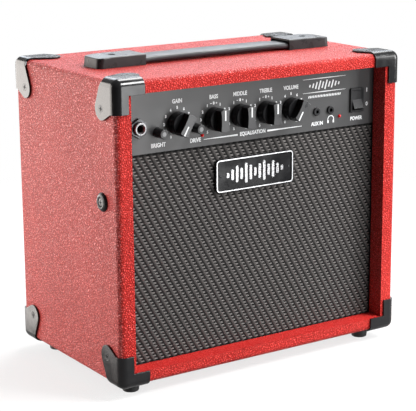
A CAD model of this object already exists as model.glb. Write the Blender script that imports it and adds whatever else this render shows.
import bmesh
import bpy
import math
from mathutils import Matrix, Vector


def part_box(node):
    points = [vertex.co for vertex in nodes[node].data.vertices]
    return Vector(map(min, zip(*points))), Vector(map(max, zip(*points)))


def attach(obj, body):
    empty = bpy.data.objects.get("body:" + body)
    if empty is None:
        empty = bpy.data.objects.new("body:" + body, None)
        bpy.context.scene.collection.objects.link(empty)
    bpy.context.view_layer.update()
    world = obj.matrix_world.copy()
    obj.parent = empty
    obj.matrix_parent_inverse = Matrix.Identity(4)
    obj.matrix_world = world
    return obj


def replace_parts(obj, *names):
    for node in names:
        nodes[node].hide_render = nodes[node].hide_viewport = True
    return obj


# A small red guitar combo amplifier. Everything is in metres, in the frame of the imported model:
# +Z is up, the front faces -Y and the origin is on the floor under the middle of the cabinet.

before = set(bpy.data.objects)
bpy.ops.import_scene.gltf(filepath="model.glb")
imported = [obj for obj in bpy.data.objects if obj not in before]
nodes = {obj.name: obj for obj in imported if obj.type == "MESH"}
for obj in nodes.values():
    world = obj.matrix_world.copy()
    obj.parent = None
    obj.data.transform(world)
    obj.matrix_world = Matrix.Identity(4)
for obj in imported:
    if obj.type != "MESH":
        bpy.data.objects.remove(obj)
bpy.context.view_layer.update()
mm = 0.001

# ---- Camera and studio ----
camera_place = Vector((-0.7834, -1.1794, 0.4906))
camera_yaw = math.radians(33.56)
camera_pitch = math.radians(-13.81)
camera_roll = math.radians(-0.45)
camera_lens = 126.6


def make_camera():
    data = bpy.data.cameras.new("camera")
    data.lens = camera_lens
    data.sensor_width = 36.0
    data.clip_end = 100.0
    camera = bpy.data.objects.new("camera", data)
    turn = Matrix.Rotation(-camera_yaw, 4, "Z")
    tilt = Matrix.Rotation(math.radians(90) + camera_pitch, 4, "X")
    roll = Matrix.Rotation(camera_roll, 4, "Z")
    camera.matrix_world = Matrix.Translation(camera_place) @ turn @ tilt @ roll
    bpy.context.scene.collection.objects.link(camera)
    bpy.context.scene.camera = camera


def softbox(name, place, size, radiance, colour=(1.0, 1.0, 1.0)):
    """A rectangular soft light that faces the amplifier. A radiance of 1 looks as bright as white paper."""
    amplifier_middle = Vector((0, 0, 0.16))
    data = bpy.data.lights.new(name, "AREA")
    data.shape = "RECTANGLE"
    data.size, data.size_y = size
    data.energy = radiance * math.pi * size[0] * size[1]
    data.color = colour
    light = bpy.data.objects.new(name, data)
    light.location = place
    light.rotation_euler = (amplifier_middle - Vector(place)).to_track_quat("-Z", "Y").to_euler()
    bpy.context.scene.collection.objects.link(light)


def make_world(dark, bright, above):
    """White to look at. What it lights is dark on the camera's side of the room, and bright beyond."""
    darkest_share = -0.3  # how far behind the camera's side, from -1 to 1, the room is darkest
    ceiling_from, ceiling_full = 0.3, 0.95  # how steeply a ray rises where the ceiling adds its light
    world = bpy.data.worlds.new("studio")
    world.use_nodes = True
    tree = world.node_tree
    add = tree.nodes.new
    link = tree.links.new
    split = add("ShaderNodeSeparateXYZ")
    link(add("ShaderNodeTexCoord").outputs["Generated"], split.inputs[0])
    across = add("ShaderNodeMath")
    across.operation = "MULTIPLY"
    across.inputs[1].default_value = math.sin(camera_yaw)
    link(split.outputs["X"], across.inputs[0])
    beyond = add("ShaderNodeMath")
    beyond.operation = "MULTIPLY_ADD"
    beyond.inputs[1].default_value = math.cos(camera_yaw)
    link(split.outputs["Y"], beyond.inputs[0])
    link(across.outputs[0], beyond.inputs[2])
    level = add("ShaderNodeMapRange")
    level.interpolation_type = "SMOOTHSTEP"
    level.inputs["From Min"].default_value = darkest_share
    level.inputs["To Min"].default_value = dark
    level.inputs["To Max"].default_value = bright
    link(beyond.outputs[0], level.inputs["Value"])
    high = add("ShaderNodeMapRange")
    high.interpolation_type = "SMOOTHSTEP"
    high.inputs["From Min"].default_value = ceiling_from
    high.inputs["From Max"].default_value = ceiling_full
    high.inputs["To Max"].default_value = above
    link(split.outputs["Z"], high.inputs["Value"])
    total = add("ShaderNodeMath")
    link(level.outputs[0], total.inputs[0])
    link(high.outputs[0], total.inputs[1])
    seen = add("ShaderNodeMix")
    link(add("ShaderNodeLightPath").outputs["Is Camera Ray"], seen.inputs["Factor"])
    link(total.outputs[0], seen.inputs[2])
    seen.inputs[3].default_value = 1.0
    link(seen.outputs[0], tree.nodes["Background"].inputs["Strength"])
    tree.nodes["Background"].inputs["Color"].default_value = (1, 1, 1, 1)
    bpy.context.scene.world = world


def make_floor():
    """A pale floor that fades into the white room some way from the amplifier."""
    reach = 1.6
    mesh = bpy.data.meshes.new("floor")
    square = [(-reach, -reach, 0), (reach, -reach, 0), (reach, reach, 0), (-reach, reach, 0)]
    mesh.from_pydata(square, [], [(0, 1, 2, 3)])
    floor = bpy.data.objects.new("floor", mesh)
    bpy.context.scene.collection.objects.link(floor)
    paint = Finish("floor_paint", (0.93, 0.93, 0.93), 0.85)
    paint.grain(40.0, 0.02, 0.3 * mm)
    away = paint.nodes.new("ShaderNodeVectorMath")
    away.operation = "LENGTH"
    paint.link(paint.place, away.inputs[0])
    paint.put("Alpha", paint.ramp(away.outputs["Value"], 0.35, 0.85, 0.26, 0.0))
    floor.data.materials.append(paint.material)


def make_studio():
    bpy.context.scene.view_settings.view_transform = "Standard"
    make_world(dark=0.04, bright=0.35, above=0.1)
    softbox("rear_left", (-1.0, 1.15, 0.2), (1.8, 1.3), 6.4, (1.0, 0.94, 0.89))
    softbox("rear_right", (1.3, 1.9, 1.25), (2.2, 0.9), 3.6, (0.86, 0.92, 1.0))
    softbox("front", (0.3, -0.95, 0.2), (0.3, 0.7), 8.0)
    softbox("front_right", (1.4, -0.9, 0.6), (0.7, 1.0), 11.2)
    softbox("high_rear", (0.85, 0.65, 1.65), (0.7, 0.9), 13.0)
    softbox("high_front", (0.9, -1.1, 1.6), (0.6, 0.6), 38.0)
    make_floor()


# ---- Materials ----
class Finish:
    """A procedural material in object space, with short names for the steps that the finishes share."""

    def __init__(self, name, colour, rough, metal=0.0):
        self.material = bpy.data.materials.new(name)
        self.material.use_nodes = True
        self.nodes = self.material.node_tree.nodes
        self.surface = self.nodes["Principled BSDF"]
        self.place = self.nodes.new("ShaderNodeTexCoord").outputs["Object"]
        self.colour = (*colour, 1)
        self.last_normal = None
        self.put("Base Color", self.colour)
        self.put("Roughness", rough)
        self.put("Metallic", metal)

    def link(self, value, socket):
        if isinstance(value, bpy.types.NodeSocket):
            self.material.node_tree.links.new(value, socket)
        else:
            socket.default_value = value

    def put(self, name, value):
        self.link(value, self.surface.inputs[name])

    def math(self, operation, *values):
        node = self.nodes.new("ShaderNodeMath")
        node.operation = operation
        for value, socket in zip(values, node.inputs):
            self.link(value, socket)
        return node.outputs[0]

    def vector(self, operation, first, second):
        node = self.nodes.new("ShaderNodeVectorMath")
        node.operation = operation
        self.link(first, node.inputs[0])
        self.link(second, node.inputs[1])
        return node.outputs[0]

    def axes(self, vector=None):
        node = self.nodes.new("ShaderNodeSeparateXYZ")
        self.link(vector or self.place, node.inputs[0])
        return node.outputs

    def facing(self):
        """The way the surface faces: 1 or -1 along the axis that it faces."""
        return self.axes(self.nodes.new("ShaderNodeTexCoord").outputs["Normal"])

    def radius(self, x, z):
        """The distance from a line along Y through a point given by its x and z."""
        axes = self.axes()
        dx = self.math("SUBTRACT", axes[0], x)
        dz = self.math("SUBTRACT", axes[2], z)
        square = self.math("ADD", self.math("MULTIPLY", dx, dx), self.math("MULTIPLY", dz, dz))
        return self.math("SQRT", square)

    def stretched(self, x, y, z):
        return self.vector("MULTIPLY", self.place, (x, y, z))

    def noise(self, scale, detail=3.0, vector=None, output="Fac"):
        node = self.nodes.new("ShaderNodeTexNoise")
        self.link(vector or self.place, node.inputs["Vector"])
        self.link(scale, node.inputs["Scale"])
        self.link(detail, node.inputs["Detail"])
        return node.outputs[output]

    def cells(self, scale, feature="F1", vector=None, output="Distance"):
        node = self.nodes.new("ShaderNodeTexVoronoi")
        node.feature = feature
        self.link(vector or self.place, node.inputs["Vector"])
        self.link(scale, node.inputs["Scale"])
        return node.outputs[output]

    def ramp(self, value, low, high, out_low=0.0, out_high=1.0):
        node = self.nodes.new("ShaderNodeMapRange")
        node.interpolation_type = "SMOOTHSTEP"
        for socket, number in zip(node.inputs, (value, low, high, out_low, out_high)):
            self.link(number, socket)
        return node.outputs[0]

    def mix(self, factor, first, second):
        node = self.nodes.new("ShaderNodeMix")
        node.data_type = "RGBA"
        self.link(factor, node.inputs["Factor"])
        for value, socket in ((first, node.inputs[6]), (second, node.inputs[7])):
            self.link(value if isinstance(value, bpy.types.NodeSocket) else (*value[:3], 1), socket)
        return node.outputs[2]

    def bump(self, height, strength, depth):
        node = self.nodes.new("ShaderNodeBump")
        self.link(height, node.inputs["Height"])
        node.inputs["Strength"].default_value = strength
        node.inputs["Distance"].default_value = depth
        if self.last_normal:
            self.link(self.last_normal, node.inputs["Normal"])
        self.last_normal = node.outputs[0]
        self.put("Normal", self.last_normal)

    def shade(self, colour, factor):
        """The base colour goes towards another one where the factor is 1."""
        self.colour = self.mix(factor, self.colour, colour)
        self.put("Base Color", self.colour)

    def grain(self, scale, strength, depth, detail=3.0):
        self.bump(self.noise(scale, detail), strength, depth)

    def uneven(self, rough_low, rough_high, scale=60.0):
        """Roughness that varies gently, as handled surfaces have it."""
        self.put("Roughness", self.ramp(self.noise(scale, 4.0), 0.3, 0.7, rough_low, rough_high))

    def mottle(self, colour, scale, share):
        """Faint patches of another colour."""
        self.shade(colour, self.ramp(self.noise(scale, 5.0), 0.4, 0.75, 0.0, share))


def vinyl():
    """Red vinyl with a pebbled grain: glossy domed cells of about 2 mm with darker creases."""
    made = Finish("red_vinyl", (0.80, 0.045, 0.034), 0.4)
    shift = made.vector("SUBTRACT", made.noise(300.0, 2.0, output="Color"), (0.5, 0.5, 0.5))
    warped = made.vector("ADD", made.place, made.vector("MULTIPLY", shift, (2.4 * mm,) * 3))
    edge = made.cells(480.0, "DISTANCE_TO_EDGE", warped)
    dome = made.ramp(edge, 0.0, 0.36)
    fine = made.noise(1700.0, 2.0)
    made.shade((0.26, 0.004, 0.003), made.ramp(edge, 0.20, 0.0, 0.0, 1.0))
    made.shade((0.42, 0.009, 0.006), made.ramp(made.noise(460.0, 2.0), 0.50, 0.60, 0.0, 0.6))
    made.mottle((0.80, 0.05, 0.04), 9.0, 0.3)
    height = made.math("ADD", dome, made.math("MULTIPLY", fine, 0.3))
    made.bump(height, 1.0, 0.9 * mm)
    made.put("Roughness", made.ramp(dome, 0.0, 1.0, 0.6, 0.36))
    # The front edges and the ledge under the cloth are handled more and have lost their haze.
    facing = made.facing()
    front = made.ramp(facing[1], -0.7, -0.95)
    upward = made.ramp(facing[2], 0.6, 0.9)
    low = made.ramp(made.axes()[2], 60 * mm, 40 * mm)
    ledge = made.math("MULTIPLY", upward, low)
    made.shade((0.86, 0.030, 0.026), made.math("MULTIPLY", ledge, 0.6))
    worn = made.math("MAXIMUM", front, ledge)
    shine = made.ramp(dome, 0.0, 1.0, 0.4, 0.95)
    made.put("Specular IOR Level", made.math("MULTIPLY", shine, made.ramp(worn, 0.0, 1.0, 1.0, 0.48)))
    return made.material


# The grille cloth's weave: upright pitch between the slanting cords, height of a row, and how far
# each lower row steps to the right.
weave_pitch = 7.2 * mm
weave_row = 3.05 * mm
weave_slant = 1.8 * mm
cloth_low, cloth_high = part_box("grille_cloth")
weave_shapes = {
    "cord": (0.20, 0.23, None, None),
    "tab": (0.55, 0.28, 0.0, 0.32),
    "hole": (0.62, 0.28, 0.5, 0.40),
    "groove": (0.90, 0.13, None, None),
}
weave_heights = {"cord": 0.30, "tab": 0.62, "hole": -0.6, "groove": -0.3}


def smooth(value):
    value = min(max(value, 0.0), 1.0)
    return value * value * (3 - 2 * value)


def weave_height(x, z):
    """How far the cloth stands out at a point, from about -0.6 to 0.9 mm."""
    row = (cloth_high.z - z) / weave_row
    across = (x - weave_slant * row) / weave_pitch
    total = 0.0
    for name, (centre, reach, row_centre, row_reach) in weave_shapes.items():
        away = abs((across - centre + 0.5) % 1.0 - 0.5)
        share = smooth(1.6 * (1 - away / reach))
        if row_centre is not None:
            away = abs((row - row_centre + 0.5) % 1.0 - 0.5)
            share *= smooth(1.6 * (1 - away / row_reach))
        total += weave_heights[name] * share
    return total * mm


def repeated_share(made, value, centre, reach):
    """A shader value of 1 near a centre, again at each whole number, that ends at its reach."""
    whole_turns = 20  # keeps the value positive all over the cloth
    inside = made.math("FRACT", made.math("ADD", value, whole_turns + 0.5 - centre))
    away = made.math("ABSOLUTE", made.math("SUBTRACT", inside, 0.5))
    return made.ramp(away, reach, reach * 0.375)


def weave_share(made, across, row, name):
    """The same pattern as a shader value: 1 in the middle of a cord, tab, hole or groove."""
    centre, reach, row_centre, row_reach = weave_shapes[name]
    share = repeated_share(made, across, centre, reach)
    if row_centre is None:
        return share
    return made.math("MULTIPLY", share, repeated_share(made, row, row_centre, row_reach))


def weave():
    """Charcoal cloth: grey slanting cords with lighter cross threads, and dark holes between them."""
    made = Finish("grille_weave", (0.030, 0.028, 0.027), 0.85)
    x, _, z = made.axes()
    row = made.math("DIVIDE", made.math("SUBTRACT", cloth_high.z, z), weave_row)
    slid = made.math("SUBTRACT", x, made.math("MULTIPLY", row, weave_slant))
    across = made.math("DIVIDE", slid, weave_pitch)
    fibres = made.noise(1500.0, 4.0)
    made.shade((0.066, 0.061, 0.059), weave_share(made, across, row, "cord"))
    made.shade((0.175, 0.163, 0.157), weave_share(made, across, row, "tab"))
    made.shade((0.016, 0.015, 0.015), weave_share(made, across, row, "groove"))
    made.shade((0.0015, 0.0015, 0.0015), weave_share(made, across, row, "hole"))
    made.shade((0.015, 0.014, 0.014), made.ramp(fibres, 0.52, 0.72, 0.0, 0.55))
    made.shade((0.20, 0.19, 0.18), made.ramp(made.noise(700.0, 3.0), 0.63, 0.73, 0.0, 0.4))
    tucked = made.ramp(z, cloth_high.z - 3.2 * mm, cloth_high.z - 1.0 * mm, 0.0, 0.85)
    made.shade((0.002, 0.002, 0.002), tucked)
    made.bump(fibres, 0.7, 0.25 * mm)
    made.put("Specular IOR Level", 0.2)
    return made.material


def panel_paint():
    made = Finish("panel_grey", (0.040, 0.040, 0.041), 0.38)
    made.mottle((0.052, 0.052, 0.053), 25.0, 0.5)
    made.grain(2400.0, 0.25, 0.05 * mm)
    made.uneven(0.34, 0.42, 35.0)
    return made.material


def gloss_black():
    """Moulded black gloss, with the faint ripple of a moulding and a little dust."""
    made = Finish("guard_black", (0.014, 0.014, 0.015), 0.12)
    made.put("Specular IOR Level", 0.38)
    made.mottle((0.022, 0.022, 0.023), 40.0, 0.5)
    made.grain(130.0, 0.12, 0.4 * mm, 2.0)
    made.uneven(0.14, 0.24, 90.0)
    return made.material


def plastic(name, colour, rough, grain_scale=1600.0, grain_depth=0.04):
    """Black moulded plastic with a fine spark-eroded grain."""
    made = Finish(name, colour, rough)
    made.mottle(tuple(c * 1.8 for c in colour), 55.0, 0.5)
    made.grain(grain_scale, 0.35, grain_depth * mm)
    made.uneven(rough * 0.85, rough * 1.2, 120.0)
    return made


def metal(name, colour, rough, streaks=(1.0, 1.0, 1.0)):
    """Metal with fine streaks along one axis, a few cloudy patches and small scratches."""
    made = Finish(name, colour, rough, 1.0)
    lines = made.noise(900.0, 3.0, made.stretched(*streaks))
    made.bump(lines, 0.2, 0.03 * mm)
    made.mottle(tuple(c * 0.6 for c in colour), 70.0, 0.45)
    made.put("Roughness", made.ramp(lines, 0.3, 0.7, rough * 0.8, rough * 1.3))
    return made.material


def black_steel():
    made = Finish("black_steel", (0.018, 0.018, 0.019), 0.3, 0.6)
    made.mottle((0.05, 0.05, 0.052), 300.0, 0.6)
    made.grain(1200.0, 0.2, 0.04 * mm)
    made.uneven(0.22, 0.4, 200.0)
    return made.material


def rubber(name, level):
    made = Finish(name, (level, level, level * 1.03), 0.62)
    made.mottle((level * 2.2,) * 3, 60.0, 0.5)
    made.grain(1300.0, 0.5, 0.08 * mm)
    made.bump(made.cells(900.0), 0.25, 0.06 * mm)
    made.uneven(0.5, 0.72, 80.0)
    return made.material


def wood(name, colour, dark, axis):
    """Plywood or board: long fibres along one axis, with darker streaks, sprayed black round the front."""
    made = Finish(name, colour, 0.7)
    scale = [260.0, 260.0, 260.0]
    scale[axis] = 9.0
    fibres = made.noise(1.0, 5.0, made.stretched(*scale))
    made.shade(dark, made.ramp(fibres, 0.4, 0.7, 0.0, 0.8))
    made.mottle(tuple(c * 0.8 for c in colour), 12.0, 0.6)
    sprayed = made.ramp(made.axes()[1], -58 * mm, -61 * mm)
    made.shade((0.010, 0.010, 0.010), sprayed)
    made.bump(fibres, 0.5, 0.2 * mm)
    return made.material


def back_board():
    """Black-painted hardboard: a leathery emboss under satin paint."""
    made = Finish("back_board", (0.022, 0.021, 0.021), 0.5)
    made.bump(made.cells(620.0, "SMOOTH_F1"), 0.6, 0.18 * mm)
    made.mottle((0.045, 0.043, 0.042), 18.0, 0.6)
    made.grain(2200.0, 0.3, 0.05 * mm)
    made.uneven(0.42, 0.6, 50.0)
    return made.material


def banded(name, colour, dark, axis, pitch, rough, depth):
    """Layers or turns stacked along one axis."""
    made = Finish(name, colour, rough)
    along = made.axes()[axis]
    wave = made.math("SINE", made.math("MULTIPLY", along, 2 * math.pi / pitch))
    made.shade(dark, made.ramp(wave, 0.1, -0.9, 0.0, 0.9))
    made.mottle(dark, 150.0, 0.4)
    made.bump(wave, 0.6, depth)
    return made.material


def circuit_green():
    """Green solder mask with paler copper tracks and pads."""
    made = Finish("circuit_green", (0.012, 0.11, 0.035), 0.35)
    tracks = made.cells(190.0, "DISTANCE_TO_EDGE")
    made.shade((0.03, 0.2, 0.07), made.ramp(tracks, 0.12, 0.06))
    pads = made.cells(240.0)
    made.shade((0.55, 0.5, 0.38), made.ramp(pads, 0.16, 0.12))
    made.bump(made.ramp(tracks, 0.12, 0.06), 0.4, 0.05 * mm)
    return made.material


def components():
    """Capacitor sleeves and chip bodies, a different tint for each part."""
    made = Finish("component_black", (0.02, 0.02, 0.022), 0.45)
    tint = made.cells(38.0, output="Color")
    made.shade((0.03, 0.06, 0.13), made.ramp(made.axes(tint)[0], 0.5, 0.6))
    made.mottle((0.06, 0.06, 0.07), 300.0, 0.4)
    made.grain(1500.0, 0.3, 0.04 * mm)
    return made.material


def cone_paper():
    """Pressed black paper with short fibres and faint pressing rings."""
    made = Finish("cone_paper", (0.020, 0.019, 0.018), 0.9)
    made.mottle((0.06, 0.057, 0.052), 400.0, 0.8)
    made.bump(made.noise(700.0, 6.0), 0.7, 0.25 * mm)
    return made.material


def red_lens():
    made = Finish("red_lens", (0.62, 0.004, 0.006), 0.12)
    made.mottle((0.85, 0.02, 0.02), 600.0, 0.5)
    made.grain(500.0, 0.05, 0.05 * mm)
    made.put("Transmission Weight", 0.25)
    made.put("Emission Color", (1.0, 0.01, 0.01, 1))
    made.put("Emission Strength", 0.12)
    return made.material


def badge_face():
    """Black lacquer, with dark steel rivet heads."""
    made = Finish("badge_black", (0.008, 0.008, 0.009), 0.22)
    low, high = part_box("badge_plate")
    rivet_x = high.x - 5.0 * mm
    middle_z = (low.z + high.z) / 2
    nearest = made.math("MINIMUM", made.radius(-rivet_x, middle_z), made.radius(rivet_x, middle_z))
    rivets = made.ramp(nearest, 1.7 * mm, 1.5 * mm)
    made.mottle((0.02, 0.02, 0.021), 80.0, 0.5)
    made.shade((0.07, 0.07, 0.073), rivets)
    made.put("Metallic", rivets)
    made.grain(900.0, 0.1, 0.03 * mm)
    made.put("Roughness", made.ramp(made.noise(60.0, 4.0), 0.3, 0.7, 0.16, 0.28))
    return made.material


def white_print():
    """Screen-printed ink, very slightly uneven."""
    made = Finish("white_print", (0.78, 0.79, 0.80), 0.5)
    made.mottle((0.66, 0.67, 0.68), 900.0, 0.5)
    made.grain(3000.0, 0.2, 0.02 * mm)
    return made.material


def button_black(name, node):
    """Black plastic with a worn grey middle on the front face."""
    made = plastic(name, (0.012, 0.012, 0.013), 0.34)
    low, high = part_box(node)
    middle = (low + high) / 2
    front = made.ramp(made.axes()[1], low.y + 0.7 * mm, low.y + 0.3 * mm)
    disc = made.ramp(made.radius(middle.x, middle.z), 2.3 * mm, 2.0 * mm)
    made.shade((0.19, 0.19, 0.195), made.math("MULTIPLY", front, disc))
    return made.material


def knob_black():
    """Black moulded knob whose flat top is a little worn and greyer than its fluted skirt."""
    made = plastic("knob_black", (0.010, 0.010, 0.011), 0.3)
    low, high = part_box("knob_gain")
    top = made.ramp(made.axes()[1], low.y + 0.5 * mm, low.y + 0.2 * mm)
    made.shade((0.045, 0.045, 0.047), top)
    made.put("Specular IOR Level", made.ramp(top, 0.0, 1.0, 0.08, 0.5))
    return made.material


def strap_skin():
    """Soft black vinyl over the strap, with a very fine leather grain."""
    made = Finish("strap_black", (0.022, 0.023, 0.026), 0.36)
    made.bump(made.cells(1100.0, "SMOOTH_F1"), 0.25, 0.05 * mm)
    made.mottle((0.05, 0.052, 0.056), 30.0, 0.5)
    made.uneven(0.3, 0.42, 45.0)
    made.put("Specular IOR Level", 0.28)
    return made.material


def cap_black():
    """The handle's end caps: satin black plastic, duller on the upright faces than on top."""
    made = plastic("cap_black", (0.018, 0.018, 0.019), 0.3, 1900.0, 0.04)
    facing = made.facing()
    end_face = made.math("ABSOLUTE", facing[0])
    front_face = made.math("MULTIPLY", facing[1], -0.75)
    upright = made.math("MAXIMUM", end_face, front_face)
    made.put("Specular IOR Level", made.ramp(upright, 0.5, 0.9, 0.48, 0.12))
    return made.material


# ---- Pieces ----
def piece(name, mesh, body, material):
    """A new object with its material, riding on a body."""
    made = bpy.data.objects.new(name, mesh)
    bpy.context.scene.collection.objects.link(made)
    mesh.materials.clear()
    mesh.materials.append(material)
    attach(made, body)
    return made


def shade_by_angle(mesh, degrees):
    """Smooth shading everywhere except across edges sharper than the angle."""
    work = bmesh.new()
    work.from_mesh(mesh)
    for face in work.faces:
        face.smooth = True
    for edge in work.edges:
        edge.smooth = edge.is_manifold and edge.calc_face_angle() < math.radians(degrees)
    work.to_mesh(mesh)
    work.free()


def softened(node, name, body, material, width, sharp=40.0):
    """A copy of a CAD node with its sharp edges rounded, which stands for it."""
    work = bmesh.new()
    work.from_mesh(nodes[node].data)
    bmesh.ops.remove_doubles(work, verts=work.verts, dist=0.001 * mm)
    bmesh.ops.dissolve_limit(work, angle_limit=math.radians(1.0), verts=work.verts, edges=work.edges)
    edges = [e for e in work.edges if e.is_manifold and e.calc_face_angle() > math.radians(sharp)]
    bmesh.ops.bevel(
        work, geom=edges, offset=width, segments=3, profile=0.5, affect="EDGES", clamp_overlap=True
    )
    mesh = bpy.data.meshes.new(name)
    work.to_mesh(mesh)
    work.free()
    if mesh.attributes.get("custom_normal"):
        mesh.attributes.remove(mesh.attributes["custom_normal"])
    shade_by_angle(mesh, 40.0)
    made = piece(name, mesh, body, material)
    made.modifiers.new("even_normals", "WEIGHTED_NORMAL").keep_sharp = True
    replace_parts(made, node)
    return made


def grille_weave():
    """The cloth over the baffle: a fine relief of its weave, rolled back along its four borders."""
    lines_a_row = 4
    columns_a_pitch = 8
    step_x = weave_pitch / columns_a_pitch
    step_z = weave_row / lines_a_row
    base_y = cloth_low.y + 0.45 * mm
    roll = 0.7 * mm
    half = cloth_high.x
    columns = round(2 * half / step_x)
    lines = round((cloth_high.z - cloth_low.z) / step_z)
    points = []
    for line in range(lines + 1):
        z = cloth_high.z - (cloth_high.z - cloth_low.z) * line / lines
        for column in range(columns + 1):
            stagger = 0.5 * (line % 2) if 0 < column < columns else 0.0
            x = -half + 2 * half * (column + stagger) / columns
            x = min(x, half)
            border = min(half - abs(x), cloth_high.z - z, z - cloth_low.z, roll)
            back = roll - math.sqrt(roll**2 - (roll - border) ** 2)
            points.append((x, base_y - weave_height(x, z) * border / roll + back, z))
    faces = []
    for line in range(lines):
        for column in range(columns):
            a = line * (columns + 1) + column
            b = a + columns + 1
            if line % 2:
                faces += [(a, b, b + 1), (a, b + 1, a + 1)]
            else:
                faces += [(a, b, a + 1), (a + 1, b, b + 1)]
    mesh = bpy.data.meshes.new("grille_weave")
    mesh.from_pydata(points, [], faces)
    mesh.polygons.foreach_set("use_smooth", [True] * len(faces))
    made = piece("grille_weave", mesh, "cabinet", weave())
    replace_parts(made, "grille_cloth")


def strap():
    """The handle's strap: a flat bar with rounded edges that dips a little as it enters its end caps."""
    low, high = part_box("handle_strap")
    middle_y = (low.y + high.y) / 2
    half = (high.y - low.y) / 2
    thick = high.z - low.z
    corner = 1.6 * mm
    crown = 0.15 * mm
    rise = 0.7 * mm
    held = 22.5 * mm
    ramp = 20.0 * mm
    stations = 64
    around = 48
    squareness = 0.35
    section = []
    for index in range(around):
        turn = 2 * math.pi * (index + 0.5) / around
        side, up = math.cos(turn), math.sin(turn)
        reach_y = half - corner
        reach_z = thick / 2 - min(corner, thick / 2 - 0.2 * mm)
        y = math.copysign(abs(side) ** squareness, side) * reach_y + corner * side
        z = math.copysign(abs(up) ** squareness, up) * reach_z + (thick / 2 - reach_z) * up
        if up > 0:
            z += crown * (1 - (y / half) ** 2) - crown
        section.append((y, z))
    points = []
    for station in range(stations + 1):
        share = station / stations
        x = low.x + (high.x - low.x) * share
        lift = rise * smooth((high.x - held - abs(x)) / ramp)
        for y, z in section:
            points.append((x, middle_y + y, (low.z + high.z) / 2 + z + lift))
    faces = [tuple(reversed(range(around)))]
    faces.append(tuple(stations * around + index for index in range(around)))
    for station in range(stations):
        for index in range(around):
            a = station * around + index
            b = station * around + (index + 1) % around
            faces.append((a, b, b + around, a + around))
    mesh = bpy.data.meshes.new("strap")
    mesh.from_pydata(points, [], faces)
    shade_by_angle(mesh, 50.0)
    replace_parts(piece("strap", mesh, "handle_strap", strap_skin()), "handle_strap")


# ---- Printed marks: everything printed is a thin raised shape in one plane ----
class Print:
    """Collects flat outlines in the panel's plane, to be raised into one thin mesh."""

    def __init__(self, y, depth=0.06 * mm):
        self.work = bmesh.new()
        self.y = y
        self.depth = depth

    def shape(self, outline):
        """A filled outline given as (x, z) points, anticlockwise seen from the front."""
        front = [self.work.verts.new((x, self.y - self.depth, z)) for x, z in outline]
        back = [self.work.verts.new((x, self.y + self.depth, z)) for x, z in outline]
        self.work.faces.new(front)
        for index in range(len(outline)):
            after = (index + 1) % len(outline)
            self.work.faces.new((front[after], front[index], back[index], back[after]))

    def stroke(self, start, end, width_start, width_end=None):
        """A straight line whose width may change along it."""
        width_end = width_start if width_end is None else width_end
        along = (Vector(end) - Vector(start)).normalized()
        across = Vector((-along.y, along.x))
        points = [
            Vector(start) - across * width_start / 2,
            Vector(end) - across * width_end / 2,
            Vector(end) + across * width_end / 2,
            Vector(start) + across * width_start / 2,
        ]
        self.shape([tuple(p) for p in points])

    def arc(self, centre, radius, width, from_turn, to_turn, steps=16):
        """An arc drawn as short strokes. Turns are anticlockwise from the right, in degrees."""
        turns = [math.radians(from_turn + (to_turn - from_turn) * i / steps) for i in range(steps + 1)]
        inner, outer = (
            [(centre[0] + reach * math.cos(turn), centre[1] + reach * math.sin(turn)) for turn in turns]
            for reach in (radius - width / 2, radius + width / 2)
        )
        for index in range(steps):
            self.shape([inner[index], outer[index], outer[index + 1], inner[index + 1]])

    def text(self, words, x, z, height, wide=1.0, bold=0.02):
        """Words in the built-in typeface, centred on a point."""
        curve = bpy.data.curves.new("words", "FONT")
        curve.body = words
        capital_share = 0.70
        curve.size = height / capital_share
        curve.align_x = "CENTER"
        curve.align_y = "CENTER"
        curve.offset = bold * height
        curve.extrude = self.depth
        curve.resolution_u = 3
        item = bpy.data.objects.new("words", curve)
        bpy.context.scene.collection.objects.link(item)
        bpy.context.view_layer.update()
        mesh = bpy.data.meshes.new_from_object(item.evaluated_get(bpy.context.evaluated_depsgraph_get()))
        stand = Matrix.Rotation(math.radians(90), 4, "X") @ Matrix.Diagonal((wide, 1, 1, 1))
        mesh.transform(Matrix.Translation((x, self.y, z)) @ stand)
        self.work.from_mesh(mesh)
        bpy.data.meshes.remove(mesh)
        bpy.data.objects.remove(item)
        bpy.data.curves.remove(curve)

    def mesh(self, name):
        bmesh.ops.remove_doubles(self.work, verts=self.work.verts, dist=0.001 * mm)
        made = bpy.data.meshes.new(name)
        self.work.to_mesh(made)
        self.work.free()
        return made


panel_low, panel_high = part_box("control_panel")
knob_names = ["gain", "bass", "middle", "treble", "volume"]
dial_start = -150.0
dial_step = 30.0


def centre(node):
    low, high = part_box(node)
    return (low + high) / 2


def around(node, turn, radius):
    """A point round a control, at a clockwise turn from 12 o'clock."""
    middle = centre(node)
    return middle.x + radius * math.sin(math.radians(turn)), middle.z + radius * math.cos(math.radians(turn))


def dial(sheet, name):
    """Numbers round a knob: 0 to 10, or 5 down to 0 and up to 5 for the tone controls."""
    node = f"knob_{name}"
    radius = 14.2 * mm
    height = 2.5 * mm
    for index in range(11):
        number = index if name in ("gain", "volume") else abs(index - 5)
        x, z = around(node, dial_start + dial_step * index, radius)
        sheet.text(str(number), x, z, height, 0.95, 0.07)
        if number == 0 and index == 5:
            sheet.stroke((x - 3.9 * mm, z), (x - 2.2 * mm, z), 0.5 * mm)
            sheet.stroke((x + 2.2 * mm, z), (x + 3.9 * mm, z), 0.5 * mm)
            sheet.stroke((x + 3.05 * mm, z - 0.85 * mm), (x + 3.05 * mm, z + 0.85 * mm), 0.5 * mm)


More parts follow.
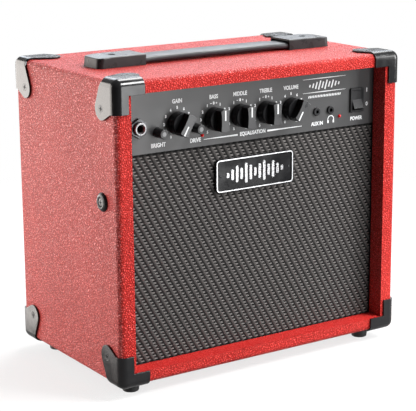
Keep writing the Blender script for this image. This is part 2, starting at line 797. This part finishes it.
def level_graphic(sheet):
    """A plain row of slanted bars between two tapered lines."""
    middle_x, middle_z = 83.0 * mm, 266.5 * mm
    half = 26.0 * mm
    for side in (-1, 1):
        z = middle_z + side * 6.6 * mm
        sheet.stroke((middle_x - half, z), (middle_x, z), 0.25 * mm, 0.9 * mm)
        sheet.stroke((middle_x, z), (middle_x + half, z), 0.9 * mm, 0.25 * mm)
    heights = [2.4, 4.2, 6.4, 8.4, 6.0, 8.8, 5.2, 7.4, 4.4, 2.6]
    for index, height in enumerate(heights):
        x = middle_x + (index - 4.5) * 3.9 * mm
        reach = Vector((height * 0.32 * mm, height * mm)) / 2
        middle = Vector((x, middle_z))
        sheet.stroke(middle - reach, middle + reach, 1.5 * mm)
    marks = 21
    marks_low, marks_high = 254.7 * mm, 256.9 * mm
    for index in range(marks):
        x = middle_x + (index - marks // 2) * 1.9 * mm
        sheet.stroke((x, marks_low), (x + 0.7 * mm, marks_high), 0.95 * mm)


def headphones(sheet, x, z):
    """A headphone sign: a band with two ear pads."""
    sheet.arc((x, z), 3.6 * mm, 0.75 * mm, 0, 180)
    for side in (-1, 1):
        sheet.stroke((x + side * 3.6 * mm, z + 0.1 * mm), (x + side * 3.6 * mm, z - 0.9 * mm), 0.75 * mm)
        sheet.stroke((x + side * 3.3 * mm, z - 0.6 * mm), (x + side * 3.3 * mm, z - 3.4 * mm), 1.6 * mm)


def panel_print(material):
    """All the white print on the control panel."""
    sheet = Print(panel_low.y)
    upper_z = 267.3 * mm
    lower_z = 229.0 * mm
    line_z = 228.8 * mm
    switch_marks_x = 136.0 * mm
    large, small = 3.7 * mm, 3.5 * mm
    wide, bold = 0.84, 0.045
    for name in knob_names:
        sheet.text(name.upper(), centre(f"knob_{name}").x, upper_z, large, wide, bold)
        dial(sheet, name)
    sheet.text("BRIGHT", -106.0 * mm, lower_z, large, wide, bold)
    sheet.text("DRIVE", -66.0 * mm, lower_z, large, wide, bold)
    sheet.text("EQUALISATION", -1.7 * mm, lower_z, small, wide, bold)
    sheet.text("AUX IN", 74.6 * mm, lower_z, small, wide, bold)
    sheet.text("POWER", 122.9 * mm, lower_z + 0.3 * mm, small, wide, bold)
    sheet.text("1", switch_marks_x, 256.2 * mm, 3.8 * mm, 1.0, 0.04)
    sheet.text("0", switch_marks_x, 242.3 * mm, 3.8 * mm, 1.0, 0.04)
    sheet.stroke((-57.0 * mm, line_z), (-18.9 * mm, line_z), 0.4 * mm, 1.6 * mm)
    sheet.stroke((15.3 * mm, line_z), (56.1 * mm, line_z), 1.6 * mm, 0.4 * mm)
    headphones(sheet, 91.2 * mm, 231.6 * mm)
    level_graphic(sheet)
    piece("panel_print", sheet.mesh("panel_print"), "cabinet", material)


rest_turns = {"gain": -150.0, "bass": 0.0, "middle": 0.0, "treble": 0.0, "volume": -150.0}


def pointer(name, material):
    """The white line on one half of a knob's grip bar."""
    low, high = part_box(f"knob_{name}")
    sheet = Print(low.y, 0.08 * mm)
    start = around(f"knob_{name}", rest_turns[name], 0.6 * mm)
    end = around(f"knob_{name}", rest_turns[name], 9.8 * mm)
    sheet.stroke(start, end, 1.35 * mm)
    piece(f"pointer_{name}", sheet.mesh(f"pointer_{name}"), f"knob_{name}", material)


def badge_border(material):
    """A bright line round the badge's raised rim, with rounded corners."""
    low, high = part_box("badge_plate")
    sheet = Print(low.y, 0.07 * mm)
    inset = 0.95 * mm
    width = 1.0 * mm
    radius = 3.1 * mm
    x = high.x - inset - radius
    z = (high.z - low.z) / 2 - inset - radius
    middle = (low.z + high.z) / 2
    for index, (i, k) in enumerate([(1, 1), (-1, 1), (-1, -1), (1, -1)]):
        sheet.arc((i * x, middle + k * z), radius, width, 90 * index, 90 * index + 90, 10)
    for side in (-1, 1):
        edge_z = middle + side * (z + radius)
        edge_x = side * (x + radius)
        sheet.stroke((-x, edge_z), (x, edge_z), width)
        sheet.stroke((edge_x, middle - z), (edge_x, middle + z), width)
    piece("badge_border", sheet.mesh("badge_border"), "cabinet", material)


# ---- What each CAD node is finished with ----
def finish_nodes():
    black = plastic("black_plastic", (0.012, 0.012, 0.013), 0.42)
    black.put("Specular IOR Level", 0.25)
    steel = black_steel()
    zinc = metal("zinc_steel", (0.55, 0.56, 0.58), 0.35)
    board = wood("side_wood", (0.50, 0.36, 0.22), (0.30, 0.19, 0.10), 2)
    plank = wood("top_wood", (0.50, 0.36, 0.22), (0.30, 0.19, 0.10), 0)
    soft = rubber("rubber_black", 0.02)
    finishes = {
        vinyl(): ["vinyl_cover"],
        board: ["side_board_left", "side_board_right"],
        plank: ["top_board", "bottom_board", "battens"],
        wood("baffle_paint", (0.02, 0.019, 0.018), (0.012, 0.011, 0.011), 0): ["baffle_board"],
        panel_paint(): ["control_panel"],
        black.material: [
            "button_switches", "input_jack_body", "mains_inlet",
            "power_switch", "power_rocker", "small_jacks",
        ],
        steel: [
            "corner_screws", "cup_washers", "handle_screws", "inner_screws", "rear_screws", "side_screws",
        ],
        zinc: [
            "chassis", "pot_bodies", "pot_nuts", "speaker_basket_left", "speaker_basket_right",
            "transformer_frame",
        ],
        soft: ["feet", "speaker_suspension_left", "speaker_suspension_right"],
        cap_black(): [
            "handle_cap_left", "handle_cap_right",
        ],
        knob_black(): [f"knob_{name}" for name in knob_names],
        button_black("button_bright_black", "button_bright"): ["button_bright"],
        button_black("button_drive_black", "button_drive"): ["button_drive"],
        metal("nut_black", (0.07, 0.07, 0.073), 0.32): ["input_jack_nut"],
        metal("chrome", (0.22, 0.22, 0.225), 0.35): ["input_jack_ring"],
        metal("bright_silver", (0.80, 0.80, 0.82), 0.28): ["badge_emblem"],
        badge_face(): ["badge_plate"],
        red_lens(): ["panel_lights"],
        circuit_green(): ["circuit_board"],
        components(): ["board_components", "power_chip"],
        metal("aluminium", (0.68, 0.69, 0.70), 0.4, (1.0, 1.0, 0.06)): ["heat_sink"],
        banded("core_steel", (0.20, 0.20, 0.21), (0.06, 0.05, 0.05), 1, 0.5 * mm, 0.5, 0.1 * mm): [
            "transformer_core"
        ],
        banded("winding_tape", (0.60, 0.42, 0.06), (0.42, 0.27, 0.03), 2, 4.0 * mm, 0.4, 0.1 * mm): [
            "transformer_winding"
        ],
        plastic("magnet_black", (0.025, 0.025, 0.027), 0.5, 500.0, 0.2).material: [
            "speaker_magnet_left", "speaker_magnet_right",
        ],
        cone_paper(): ["speaker_cone_left", "speaker_cone_right"],
        plastic("lead_insulation", (0.03, 0.03, 0.032), 0.45).material: ["speaker_leads"],
        back_board(): ["rear_panel"],
        metal("brass", (0.72, 0.52, 0.22), 0.25, (1.0, 0.1, 1.0)): ["inlet_pins"],
    }
    for material, names in finishes.items():
        for name in names:
            nodes[name].data.materials.clear()
            nodes[name].data.materials.append(material)


make_camera()
make_studio()
finish_nodes()
guard_paint = gloss_black()
for end in ("front", "rear"):
    softened(f"corner_guards_{end}", f"guards_{end}", "cabinet", guard_paint, 1.4 * mm)
grille_weave()
strap()
ink = white_print()
panel_print(ink)
for name in knob_names:
    pointer(name, ink)
badge_border(metal("border_silver", (0.86, 0.86, 0.88), 0.35))
